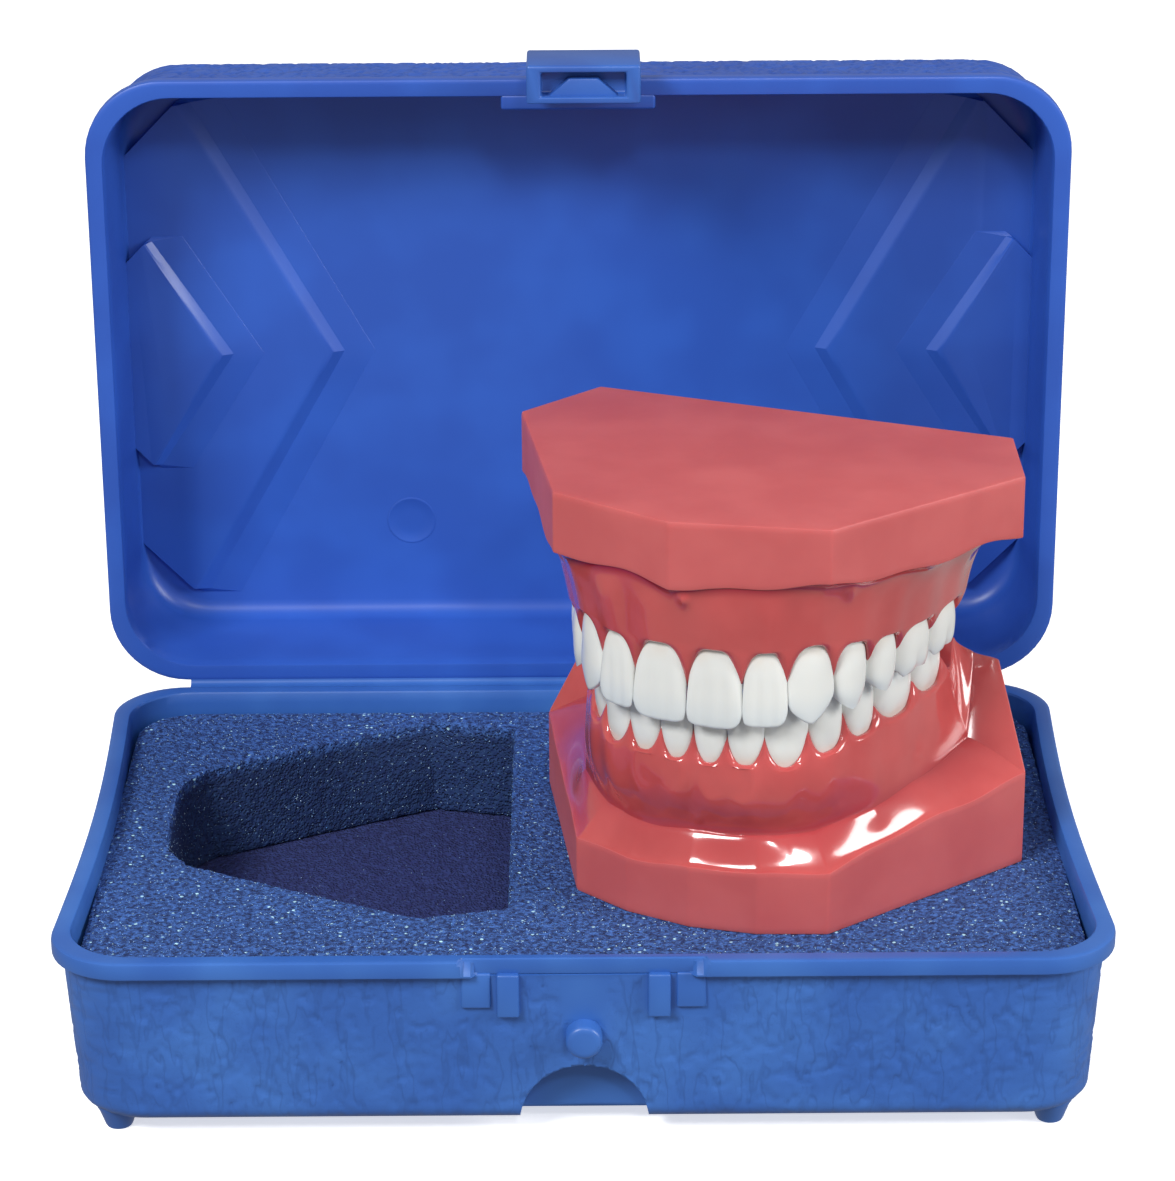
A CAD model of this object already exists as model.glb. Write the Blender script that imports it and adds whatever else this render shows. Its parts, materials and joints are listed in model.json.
# %% [markdown]
# Typodont in its carrying case, open on a table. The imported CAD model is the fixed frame: every
# piece here takes its place from it, rides on one of its bodies and stands for its nodes.
# Lengths are written in millimetres and turned into metres when a mesh is made.

# %% Start
import json
import math

import bmesh
import bpy
import numpy as np
from mathutils import Matrix, Vector


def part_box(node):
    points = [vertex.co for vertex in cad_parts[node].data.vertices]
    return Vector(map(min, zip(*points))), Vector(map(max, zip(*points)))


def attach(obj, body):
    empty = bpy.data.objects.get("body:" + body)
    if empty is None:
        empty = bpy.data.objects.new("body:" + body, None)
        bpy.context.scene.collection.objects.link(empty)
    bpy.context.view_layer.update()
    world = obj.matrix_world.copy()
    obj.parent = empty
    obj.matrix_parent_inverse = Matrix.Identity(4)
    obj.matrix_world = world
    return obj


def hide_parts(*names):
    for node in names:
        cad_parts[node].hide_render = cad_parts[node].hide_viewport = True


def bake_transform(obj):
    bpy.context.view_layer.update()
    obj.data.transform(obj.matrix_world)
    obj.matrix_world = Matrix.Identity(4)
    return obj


MM = 0.001
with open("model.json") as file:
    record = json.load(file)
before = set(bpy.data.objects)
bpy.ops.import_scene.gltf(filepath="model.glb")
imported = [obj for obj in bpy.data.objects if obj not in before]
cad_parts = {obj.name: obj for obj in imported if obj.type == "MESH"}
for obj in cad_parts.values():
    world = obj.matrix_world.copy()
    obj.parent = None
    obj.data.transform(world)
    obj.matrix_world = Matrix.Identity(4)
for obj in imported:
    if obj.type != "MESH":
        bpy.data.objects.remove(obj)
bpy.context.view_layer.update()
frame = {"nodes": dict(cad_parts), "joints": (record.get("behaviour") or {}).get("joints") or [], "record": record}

# %% [markdown]
# Every piece is built as points and faces in one pass and then shaded smooth, with edges kept
# sharp where two faces meet at a real corner. A moulding or a casting is one closed skin.

# %% Mesh helpers
SMOOTH_TO = math.radians(34)


def grid_faces(rows, columns, start=0, closed=True):
    """Faces of a grid of rows of points; closed joins the last column to the first."""
    faces = []
    for row in range(rows - 1):
        for column in range(columns if closed else columns - 1):
            after = (column + 1) % columns
            near, far = start + row * columns, start + (row + 1) * columns
            faces.append((near + column, near + after, far + after, far + column))
    return faces


def make_mesh(name, points, faces, sharp=SMOOTH_TO):
    """An object from points in millimetres, with its faces turned outwards."""
    mesh = bpy.data.meshes.new(name)
    mesh.from_pydata((np.asarray(points, float) * MM).tolist(), [], [tuple(face) for face in faces])
    work = bmesh.new()
    work.from_mesh(mesh)
    bmesh.ops.recalc_face_normals(work, faces=work.faces)
    work.to_mesh(mesh)
    work.free()
    mesh.shade_smooth()
    mesh.set_sharp_from_angle(angle=sharp)
    item = bpy.data.objects.new(name, mesh)
    bpy.context.scene.collection.objects.link(item)
    return item


def rings(name, loops, sharp=SMOOTH_TO):
    """A closed skin from loops of equal length, its two ends capped."""
    loops = [np.asarray(loop, float) for loop in loops]
    count = len(loops[0])
    faces = grid_faces(len(loops), count)
    faces.append(tuple(range(count)))
    faces.append(tuple(range((len(loops) - 1) * count, len(loops) * count)))
    return make_mesh(name, np.concatenate(loops), faces, sharp)


def join(pieces, name):
    """Several closed skins as one piece."""
    mesh = bpy.data.meshes.new(name)
    work = bmesh.new()
    for piece in pieces:
        work.from_mesh(piece.data)
        bpy.data.objects.remove(piece)
    work.to_mesh(mesh)
    work.free()
    item = bpy.data.objects.new(name, mesh)
    bpy.context.scene.collection.objects.link(item)
    return item


def evaluated(item):
    """The piece with its modifiers made real."""
    depsgraph = bpy.context.evaluated_depsgraph_get()
    mesh = bpy.data.meshes.new_from_object(item.evaluated_get(depsgraph))
    item.modifiers.clear()
    item.data = mesh
    return item


def boolean(item, tool, operation="DIFFERENCE"):
    """Cut a closed tool out of a piece, or add it."""
    modifier = item.modifiers.new("cut", "BOOLEAN")
    modifier.operation = operation
    modifier.solver = "EXACT"
    modifier.object = tool
    evaluated(item)
    bpy.data.objects.remove(tool)
    return item


def bevel(item, width, segments=3, angle=30):
    """Round the sharp edges of a piece."""
    modifier = item.modifiers.new("edges", "BEVEL")
    modifier.width = width * MM
    modifier.segments = segments
    modifier.limit_method = "ANGLE"
    modifier.angle_limit = math.radians(angle)
    modifier.harden_normals = False
    evaluated(item)
    item.data.shade_smooth()
    item.data.set_sharp_from_angle(angle=SMOOTH_TO)
    return item


def box(name, low, high, edge=0.0, segments=3):
    """A plain or round-edged block between two corners."""
    (x0, y0, z0), (x1, y1, z1) = low, high
    loops = [[(x0, y0, z), (x1, y0, z), (x1, y1, z), (x0, y1, z)] for z in (z0, z1)]
    item = rings(name, loops)
    return bevel(item, edge, segments) if edge else item


def move(item, turn=0.0, axis="Z", place=(0, 0, 0)):
    """Turn and shift a piece's own points; place in millimetres."""
    matrix = Matrix.Translation(Vector(place) * MM) @ Matrix.Rotation(turn, 4, axis)
    item.data.transform(matrix)
    item.data.update()
    return item


def set_attribute(item, name, values):
    """A number for each point of a piece, for its material."""
    attribute = item.data.attributes.new(name, "FLOAT", "POINT")
    attribute.data.foreach_set("value", np.asarray(values, np.float32))


def smooth(low, high, value):
    """0 below low, 1 above high, and an even curve between."""
    part = np.clip((np.asarray(value, float) - low) / (high - low), 0, 1)
    return part * part * (3 - 2 * part)


# %% [markdown]
# Materials are written as sums on shader values. One class carries a socket, and each operator
# adds one Math node; colours are mixed by a second node.

# %% Shader values
class Value:
    """A number or colour in a node tree, with the usual operators."""

    def __init__(self, tree, socket):
        self.tree, self.socket = tree, socket

    def node(self, kind, inputs=(), out=0, **settings):
        """Add a node, set its settings, join or set its inputs, and return one output."""
        made = self.tree.nodes.new(kind)
        for name, value in settings.items():
            setattr(made, name, value)
        for key, value in (inputs.items() if isinstance(inputs, dict) else enumerate(inputs)):
            if isinstance(value, Value):
                self.tree.links.new(value.socket, made.inputs[key])
            elif value is not None:
                made.inputs[key].default_value = value
        return Value(self.tree, made.outputs[out])

    def math(self, operation, *others, clamp=False):
        return self.node("ShaderNodeMath", (self, *others), operation=operation, use_clamp=clamp)

    def __add__(self, other): return self.math("ADD", other)
    def __sub__(self, other): return self.math("SUBTRACT", other)
    def __mul__(self, other): return self.math("MULTIPLY", other)
    def absolute(self): return self.math("ABSOLUTE", 0.0)

    def ramp(self, low, high, to_low=0.0, to_high=1.0):
        """Map low..high to to_low..to_high with a smooth curve."""
        return self.node("ShaderNodeMapRange", (self, low, high, to_low, to_high),
                         interpolation_type="SMOOTHSTEP")

    def mix(self, one, other):
        """One colour where this is 0, the other where it is 1."""
        made = self.tree.nodes.new("ShaderNodeMix")
        made.data_type = "RGBA"
        self.tree.links.new(self.socket, made.inputs[0])
        for place, colour in ((6, one), (7, other)):
            if isinstance(colour, Value):
                self.tree.links.new(colour.socket, made.inputs[place])
            else:
                made.inputs[place].default_value = (*colour, 1.0)
        return Value(self.tree, made.outputs[2])


class Material:
    """A procedural material on the object's own coordinates."""

    def __init__(self, name):
        self.material = bpy.data.materials.new(name)
        self.material.use_nodes = True
        self.tree = self.material.node_tree
        self.shader = self.tree.nodes["Principled BSDF"]
        coordinates = self.tree.nodes.new("ShaderNodeTexCoord")
        self.place = Value(self.tree, coordinates.outputs["Object"])

    def stretched(self, x, y, z):
        return self.place.node("ShaderNodeVectorMath", (self.place, (x, y, z)), operation="MULTIPLY")

    def noise(self, scale, detail=3.0, rough=0.5, place=None):
        return self.place.node("ShaderNodeTexNoise", {"Vector": place or self.place, "Scale": scale,
                                                      "Detail": detail, "Roughness": rough})

    def cells(self, scale, place=None, feature="F1", out=0):
        return self.place.node("ShaderNodeTexVoronoi", {"Vector": place or self.place, "Scale": scale},
                               out, feature=feature)

    def attribute(self, name):
        made = self.tree.nodes.new("ShaderNodeAttribute")
        made.attribute_name = name
        return Value(self.tree, made.outputs["Fac"])

    def axis(self, number):
        return self.place.node("ShaderNodeSeparateXYZ", (self.place,), number)

    def set(self, **values):
        """Constant or varying shader inputs, with _ for a space in their names."""
        for name, value in values.items():
            socket = self.shader.inputs[name.replace("_", " ")]
            if isinstance(value, Value):
                self.tree.links.new(value.socket, socket)
            else:
                socket.default_value = value

    def bump(self, height, strength, distance):
        made = self.tree.nodes.new("ShaderNodeBump")
        made.inputs["Strength"].default_value = strength
        made.inputs["Distance"].default_value = distance * MM
        self.tree.links.new(height.socket, made.inputs["Height"])
        self.tree.links.new(made.outputs["Normal"], self.shader.inputs["Normal"])


# %% [markdown]
# The case is injection-moulded polypropylene in royal blue. The tool is etched with a leather
# grain on the outside of its walls and left smooth on lips, pads and the inside of the lid, so
# one material does both: a point attribute says how much grain there is. The moulding itself
# carries the larger wrinkles as shape, and the material adds the fine creases between them.

# %% Case plastic
def case_plastic(name, colour, deep):
    made = Material(name)
    grain = made.attribute("grain")
    wrinkle = made.noise(360.0, 2.0, 0.5, made.stretched(1.0, 1.0, 0.3)) - 0.5
    crack = made.noise(620.0, 2.0, 0.5, made.stretched(1.0, 1.0, 0.8)) - 0.5
    crease = wrinkle.absolute().ramp(0.0, 0.05) * (crack.absolute().ramp(0.0, 0.02) * 0.4 + 0.6)
    pebble = made.noise(1400.0, 2.0)
    skin = made.noise(60.0, 2.0)
    tint = skin.ramp(0.35, 0.7).mix(deep, colour)
    worn = (grain * (crease * -0.30 + 0.30)).mix(tint, tuple(part * 0.55 for part in deep))
    made.set(Base_Color=worn, Roughness=grain.ramp(0.0, 1.0, 0.33, 0.42) + pebble * 0.06,
             IOR=1.49, Specular_IOR_Level=0.5, Subsurface_Weight=0.0)
    made.bump(grain * crease + pebble * 0.12, 0.35, 0.08)
    return made.material


case_material = case_plastic("case_plastic", (0.044, 0.150, 0.480), (0.030, 0.112, 0.410))
lid_material = case_plastic("lid_plastic", (0.028, 0.104, 0.480), (0.024, 0.086, 0.420))
latch_material = case_plastic("latch_plastic", (0.034, 0.120, 0.440), (0.028, 0.095, 0.380))
print("case plastic ready")

# %% [markdown]
# Foam: blue open-cell polyether, cut with a blade, so its faces show broken cell windows that
# glint. The cells are too small to model, but the torn surface is shape and the glints are
# small bright cells in the material. The pad below is the same foam in shade.

# %% Foam material
FOAM_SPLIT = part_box("foam_insert")[0].z / MM
FOAM_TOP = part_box("foam_insert")[1].z / MM


def foam_material(name, colour, deep, glint):
    made = Material(name)
    cell = made.cells(2000.0)
    tone = made.noise(1100.0, 4.0, 0.7)
    pit = cell.ramp(0.15, 0.6)
    depth = made.axis(2).ramp((FOAM_TOP - 2.6) * MM, (FOAM_TOP - 0.7) * MM)
    shade = depth.mix(tuple(part * 0.35 for part in colour), colour)
    body = tone.ramp(0.36, 0.64).mix(deep, shade)
    shuffled = made.cells(1300.0, out=1)
    random = shuffled.node("ShaderNodeSeparateColor", (shuffled,))
    spark = random.ramp(0.93, 0.97) * made.cells(1300.0).ramp(0.45, 0.2) * depth
    made.set(Base_Color=spark.mix(body, glint), Roughness=spark.ramp(0.0, 1.0, 0.85, 0.3),
             Specular_IOR_Level=0.4)
    made.bump(pit + tone * 0.6, 0.9, 0.35)
    return made.material


foam_top_material = foam_material("foam", (0.052, 0.145, 0.450), (0.010, 0.028, 0.120),
                                  (0.50, 0.85, 1.0))
foam_pad_material = foam_material("foam_pad", (0.095, 0.150, 0.560), (0.020, 0.026, 0.120),
                                  (0.12, 0.25, 0.55))
print("foam ready")

# %% [markdown]
# Gum and block are one pour of pink acrylic. The gum is flamed and polished, with a clear coat
# over it; the trimmed faces come off a wet wheel and stay satin and a little paler. Light goes
# a millimetre or two into it, which the subsurface term stands for.

# %% Gum acrylic
def gum_acrylic():
    made = Material("gum_acrylic")
    polish = made.attribute("polish")
    crease = made.attribute("crease")
    cloud = made.noise(90.0, 3.0)
    fine = made.noise(500.0, 2.0)
    pale = cloud.ramp(0.35, 0.65).mix((0.540, 0.088, 0.086), (0.480, 0.070, 0.070))
    trimmed = cloud.ramp(0.3, 0.7).mix((0.540, 0.112, 0.112), (0.490, 0.092, 0.094))
    body = polish.mix(trimmed, pale)
    body = crease.mix(body, (0.300, 0.014, 0.030))
    made.set(Base_Color=body, Roughness=polish.ramp(0.0, 1.0, 0.46, 0.13) + fine * 0.03,
             Coat_Weight=polish * 0.6, Coat_Roughness=0.05, IOR=1.49,
             Subsurface_Weight=0.22, Subsurface_Radius=(1.0, 0.32, 0.25), Subsurface_Scale=0.003)
    made.bump(made.noise(45.0, 2.0) + fine * 0.05, 0.16, 0.30)
    return made.material


gum_material = gum_acrylic()
print("gum acrylic ready")

# %% [markdown]
# Teeth are pressed from hard white acrylic in two layers: an even dentine white below, and a
# slightly greyer, clearer enamel towards the biting edge. They are polished before mounting.

# %% Enamel
def enamel():
    made = Material("enamel")
    height = made.attribute("height")
    cloud = made.noise(220.0, 2.0)
    body = height.ramp(0.55, 1.0).mix((0.720, 0.730, 0.705), (0.640, 0.680, 0.690))
    neck = height.ramp(0.0, 0.3).mix((0.690, 0.650, 0.590), body)
    made.set(Base_Color=cloud.ramp(0.3, 0.7).mix(neck, body), Roughness=0.22, Coat_Weight=0.35,
             Coat_Roughness=0.08, IOR=1.52, Subsurface_Weight=0.14,
             Subsurface_Radius=(1.0, 0.85, 0.7), Subsurface_Scale=0.0014)
    made.bump(cloud + made.noise(900.0, 2.0) * 0.15, 0.12, 0.20)
    return made.material


enamel_material = enamel()
print("enamel ready")

# %% [markdown]
# Both halves of the case are drawn as one skin each: an outline with round corners, repeated
# at every level of the wall from the underside up to the lip and down the inside. Columns are
# dense along the front, where the break in the lip, the grain and the panel show.

# %% Outlines of the case
FINE = (270, 130, 12)  # columns along a front, a side and a corner


def case_outline(half_x, low_y, high_y, radius, bow=0.0, columns=FINE):
    """Closed outline with round corners; its two sides bend inwards by bow."""
    points = []
    x, low, high = half_x - radius, low_y + radius, high_y - radius
    centres = ((x, low, -90), (x, high, 0), (-x, high, 90), (-x, low, 180))
    steps = (columns[0], columns[1], columns[0], columns[1])
    for side in range(4):
        x1, y1, turn = centres[side]
        x0, y0, before = centres[side - 1]
        out = (math.cos(math.radians(turn)), math.sin(math.radians(turn)))
        for step in range(steps[side]):
            part = step / steps[side]
            inward = bow * math.sin(math.pi * part) if side % 2 else 0.0
            points.append((x0 + (x1 - x0) * part + out[0] * (radius - inward),
                           y0 + (y1 - y0) * part + out[1] * (radius - inward)))
        for step in range(columns[2]):
            angle = math.radians(turn + 90 * step / columns[2])
            points.append((x1 + radius * math.cos(angle), y1 + radius * math.sin(angle)))
    return np.array(points)


# %% [markdown]
# Leather grain: geometry nodes push the wall in along its own normal, in thin creases that run
# up and down and wander as they do on real hide, with a few short cracks across them.

# %% Grain nodes
def grain_nodes():
    group = bpy.data.node_groups.new("leather_grain", "GeometryNodeTree")
    group.interface.new_socket("Geometry", in_out="INPUT", socket_type="NodeSocketGeometry")
    for name, value in (("Depth", 0.0003), ("Scale", 420.0), ("Stretch", 0.42), ("Wander", 0.0012)):
        socket = group.interface.new_socket(name, in_out="INPUT", socket_type="NodeSocketFloat")
        socket.default_value = value
    group.interface.new_socket("Geometry", in_out="OUTPUT", socket_type="NodeSocketGeometry")
    start = group.nodes.new("NodeGroupInput")
    given = {socket.name: Value(group, socket) for socket in start.outputs if socket.name}
    position = Value(group, group.nodes.new("GeometryNodeInputPosition").outputs[0])
    normal = Value(group, group.nodes.new("GeometryNodeInputNormal").outputs[0])
    wave = position.node("ShaderNodeTexNoise", {"Vector": position, "Scale": 150.0, "Detail": 2.0}, 1)
    centred = position.node("ShaderNodeVectorMath", (wave, (0.5, 0.5, 0.5)), operation="SUBTRACT")
    drift = position.node("ShaderNodeVectorMath", operation="SCALE",
                          inputs={0: centred, "Scale": given["Wander"] * 4.0})
    bent = position.node("ShaderNodeVectorMath", (position, drift), operation="ADD")
    tall = position.node("ShaderNodeCombineXYZ", (1.0, 1.0, given["Stretch"]))
    place = position.node("ShaderNodeVectorMath", (bent, tall), operation="MULTIPLY")
    wrinkle = position.node("ShaderNodeTexNoise",
                            {"Vector": place, "Scale": given["Scale"], "Detail": 1.5})
    cross = position.node("ShaderNodeTexNoise",
                          {"Vector": bent, "Scale": given["Scale"] * 1.6, "Detail": 1.0})
    lines = (wrinkle - 0.5).absolute().ramp(0.0, 0.06, 1.0, 0.0)
    lines = lines + (cross - 0.5).absolute().ramp(0.0, 0.025, 0.4, 0.0)
    mask = position.node("GeometryNodeInputNamedAttribute", {"Name": "grain"}, data_type="FLOAT")
    push = lines * mask * given["Depth"] * -1.0
    offset = position.node("ShaderNodeVectorMath", operation="SCALE", inputs={0: normal, "Scale": push})
    moved = position.node("GeometryNodeSetPosition", {"Geometry": given["Geometry"], "Offset": offset})
    end = group.nodes.new("NodeGroupOutput")
    group.links.new(moved.socket, end.inputs[0])
    return group


def apply_nodes(item, group, **values):
    """Run a geometry node group on a piece with named inputs, and keep the result as a mesh."""
    modifier = item.modifiers.new(group.name, "NODES")
    modifier.node_group = group
    for socket in group.interface.items_tree:
        if socket.in_out == "INPUT" and socket.name in values:
            modifier[socket.identifier] = values[socket.name]
    item.update_tag()
    return evaluated(item)


leather = grain_nodes()
print("leather grain nodes ready")

# %% [markdown]
# Tray: drafted walls on a flat bottom, a lip that breaks at the latch, two guide posts and two
# pads under that break, a round knob for the latch, a half-round finger scoop at the bottom of
# the front, and four blunt feet. It is one shot of plastic.

# %% Tray
SHIFT = -11.85
RIM_X, RIM_Y, RIM_Z = 80.0, 53.1, 31.55
WALL, BOTTOM, INSET, LIP_TALL, LIP_OUT = 1.6, 3.3, 3.0, 2.7, 1.3
GAP_HALF, GAP_SLOPE = 16.1, 2.4
BOTTOM_ROUND, RIM_CORNER, SIDE_BOW = 2.5, 11.5, 1.3
KNOB_LEVEL, SCOOP_RADIUS, SCOOP_DEEP = 18.4, 9.7, 4.6
PANEL_LINES = (-17.1, 18.9)  # the two upright lines of the front panel
GUIDES = ((9.6, 3.3, 22.0, 0.95), (13.8, 4.4, 23.3, 0.35))  # near side, width, low end, how far out
KNOB = [(2.0, -1.0), (2.75, -1.0), (2.72, 2.3), (2.55, 2.7), (2.25, 2.92), (1.7, 3.0), (0.3, 3.0)]
FOOT = [(0.6, 0.0), (1.6, 0.0), (1.95, 0.12), (2.15, 0.5), (3.0, 3.0), (3.3, 3.5), (3.4, 4.2)]
FOOT_X, FOOT_Y = 71.0, 44.1


def tray_inset(level):
    """How far the drafted wall stands inside the rim at a level."""
    return INSET - (INSET - LIP_OUT) * (level - BOTTOM) / (RIM_Z - BOTTOM)


def tray_rows():
    """(inset, level, grain) of every row, from the underside over the lip to the inside."""
    rows = []
    for angle in np.radians(np.linspace(0, 90, 7)):
        level = BOTTOM + BOTTOM_ROUND * (1 - math.cos(angle))
        inset = tray_inset(level) + BOTTOM_ROUND * (1 - math.sin(angle))
        rows.append((inset, level, 0.5 if angle > 0.7 else 0.0))
    for level in np.arange(BOTTOM + 3.0, 28.5, 0.5):
        rows.append((tray_inset(level), level, 1.0 if level < 28.0 else 0.4))
    low = RIM_Z - LIP_TALL
    rows += [(tray_inset(low) - 0.05, low - 0.1, 0), (0.3, low, 0), (0.06, low + 0.12, 0),
             (0.0, low + 0.4, 0), (0.0, RIM_Z - 0.6, 0), (0.1, RIM_Z - 0.2, 0), (0.35, RIM_Z - 0.03, 0), (0.8, RIM_Z, 0),
             (LIP_OUT + WALL - 0.6, RIM_Z, 0), (LIP_OUT + WALL - 0.2, RIM_Z - 0.06, 0),
             (LIP_OUT + WALL, RIM_Z - 0.35, 0)]
    for level in (29.5, 26.0, 20.0, 14.0, 9.0, BOTTOM + WALL + 2.0):
        rows.append((tray_inset(level) + WALL, level, 0))
    rows += [(tray_inset(5.0) + WALL + 0.5, BOTTOM + WALL + 0.9, 0),
             (tray_inset(5.0) + WALL + 1.6, BOTTOM + WALL + 0.2, 0),
             (tray_inset(5.0) + WALL + 3.0, BOTTOM + WALL, 0)]
    return rows


def make_tray():
    loops, grain = [], []
    for inset, level, rough in tray_rows():
        outline = case_outline(RIM_X - inset, -RIM_Y + inset, RIM_Y - inset,
                               max(RIM_CORNER - inset * 0.5, 3.0), SIDE_BOW)
        front = (outline[:, 1] < -RIM_Y + 9) & (abs(outline[:, 0]) < 30)
        if level > RIM_Z - LIP_TALL - 0.06 and inset < LIP_OUT + WALL - 0.3:
            edge = GAP_HALF + GAP_SLOPE * (level - RIM_Z + LIP_TALL) / LIP_TALL
            stands = smooth(edge - 0.3, edge + 0.3, abs(outline[:, 0]))
            back = np.maximum(0.0, tray_inset(min(level, RIM_Z)) + min(inset, 0.35) - inset)
            outline[:, 1] += np.where(front, (1 - stands) * back, 0)
        loops.append(np.column_stack([outline, np.full(len(outline), level)]))
        x = outline[:, 0]
        patch = front & (abs(x) < 3.4 + 0.8 * (level - 20.7) / 9.1) & (level > 20.7)
        posts = front & (abs(x) > 9.2) & (abs(x) < 18.6) & (level > 21.6)
        mask = np.where(patch | posts, 0.0, rough)
        for line in PANEL_LINES:
            mask = mask * np.where(front, smooth(0.10, 0.35, abs(x - line)), 1.0)
        grain.append(mask)
    tray = rings("case_tray_visual", loops)
    set_attribute(tray, "grain", np.concatenate(grain))
    apply_nodes(tray, leather, Depth=0.00024, Scale=330.0, Stretch=0.30, Wander=0.0018)
    housing = round_bar("housing", 11.3, -RIM_Y + INSET + 2.8, -RIM_Y + INSET + 6.2, BOTTOM + 0.4)
    boolean(tray, housing, "UNION")
    scoop = round_bar("scoop", SCOOP_RADIUS, -RIM_Y - 2, -RIM_Y + INSET + SCOOP_DEEP, BOTTOM - 12, BOTTOM)
    boolean(tray, scoop)
    return tray


def round_bar(name, radius, near, far, low, centre=BOTTOM):
    """A bar along Y with a half-round top, closed at both ends."""
    turns = np.radians(np.linspace(0, 180, 49))
    arch = [(radius * math.cos(turn), centre + radius * math.sin(turn)) for turn in turns]
    profile = [(radius, low)] + [(x, max(z, low)) for x, z in arch][1:-1] + [(-radius, low)]
    if low < centre:
        profile = [(radius, low)] + arch + [(-radius, low)]
    return rings(name, [[(x, y, z) for x, z in profile] for y in (near, far)])


def lathe(name, profile, centre, axis="Z", steps=48):
    """A closed turned piece from (radius, height) rows, about an axis through centre."""
    loops = []
    for radius, height in profile:
        turns = np.linspace(0, 2 * math.pi, steps, endpoint=False)
        loops.append([(radius * math.cos(turn), radius * math.sin(turn), height) for turn in turns])
    item = rings(name, loops)
    return move(item, math.radians(90) if axis == "-Y" else 0.0, "X", centre)


def front_level(level):
    """Where the front wall's outside stands at a level."""
    return -RIM_Y + tray_inset(level)


tray = make_tray()
details = []
for side in (-1, 1):
    for near, wide, low, out in GUIDES:
        x0, x1 = sorted((side * near, side * (near + wide)))
        details.append(box(f"post_{side}", (x0, front_level(28.0) - out, low),
                           (x1, front_level(28.0) + 1.6, RIM_Z - LIP_TALL + 0.25), 0.35))
details.append(lathe("knob", KNOB, (0, front_level(KNOB_LEVEL), KNOB_LEVEL), "-Y"))
for x in (-FOOT_X, FOOT_X):
    for y in (-FOOT_Y, FOOT_Y):
        details.append(lathe("foot", FOOT, (x, y, 0)))
smooth_details = join(details, "details")
smooth_details.data.shade_smooth()
smooth_details.data.set_sharp_from_angle(angle=SMOOTH_TO)
set_attribute(smooth_details, "grain", np.zeros(len(smooth_details.data.vertices)))
tray = move(join([tray, smooth_details], "case_tray_visual"), place=(0, SHIFT, 0))
print("tray:", len(tray.data.polygons), "faces")

# %% [markdown]
# Lid: the same construction, deeper, drawn mouth up and then stood on its edge. Each end has
# two chevron terraces that stiffen the panel: a steep riser, a sharp edge, a sloping bevel and
# a flat band. On the outside the same chevrons are sunk, so that the wall stays even.

# %% Lid
LID_X, LID_START, LID_REACH, LID_DEEP, LID_INSET = 81.5, 0.65, 106.9, 23.6, 2.2
LID_MIDDLE = (LID_START + LID_REACH) / 2


def lid_inset(level):
    return LID_INSET - (LID_INSET - LIP_OUT) * level / LID_DEEP


def lid_rows():
    rows = []
    for angle in np.radians(np.linspace(0, 90, 7)):
        level = 2.6 * (1 - math.cos(angle))
        rows.append((lid_inset(level) + 2.6 * (1 - math.sin(angle)), level, 0.6))
    for level in np.arange(3.2, 20.6, 0.7):
        rows.append((lid_inset(level), level, 1.0))
    low = LID_DEEP - LIP_TALL
    rows += [(lid_inset(low) - 0.05, low - 0.1, 0), (0.3, low, 0), (0.06, low + 0.12, 0),
             (0.0, low + 0.4, 0), (0.0, LID_DEEP - 0.5, 0), (0.1, LID_DEEP - 0.16, 0),
             (0.35, LID_DEEP - 0.02, 0), (0.8, LID_DEEP, 0),
             (LIP_OUT + WALL - 0.5, LID_DEEP, 0), (LIP_OUT + WALL - 0.15, LID_DEEP - 0.06, 0),
             (LIP_OUT + WALL, LID_DEEP - 0.3, 0)]
    for level in (20.0, 15.0, 10.0, 6.5, 4.6):
        rows.append((lid_inset(level) + WALL, level, 0))
    for angle in np.radians(np.linspace(15, 90, 6)):
        level = WALL + 2.8 * (1 - math.sin(angle))
        rows.append((lid_inset(level) + WALL + 2.8 * (1 - math.cos(angle)), level, 0))
    return rows


# apex, end of the slanted sides, half height, and how many steps it stands above the panel
CHEVRONS = {"wide": (40.9, 66.0, 44.3, 1), "narrow": (60.1, 73.4, 20.3, 2)}
STEP, TRIM, RELIEF_END, CHEVRON_END = 1.6, 0.8, 75.0, 78.2
LEDGE_HALF = 12.7


def chevron(kind, side, levels, outer):
    """A chevron prism at one end of the lid from (level, shift of its slanted sides) rows."""
    apex, end, rise, _ = CHEVRONS[kind]
    loops = []
    for level, shift in levels:
        trim = (outer - end) * TRIM
        far = outer - trim + shift * 0.2
        half = [(apex + shift, 0.0), (min(end + shift, far - 0.3), rise - shift * 0.15),
                (far, rise - shift * 0.15), (outer, rise - trim)]
        corners = half + [(x, -y) for x, y in reversed(half[1:])]
        loop = []
        for (x0, y0), (x1, y1) in zip(corners, corners[1:] + corners[:1]):
            for part in np.linspace(0, 1, 12, endpoint=False):
                loop.append((side * (x0 + (x1 - x0) * part), LID_MIDDLE + y0 + (y1 - y0) * part, level))
        loops.append(loop)
    return rings(f"chevron_{kind}_{side}", loops, math.radians(20))


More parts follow.
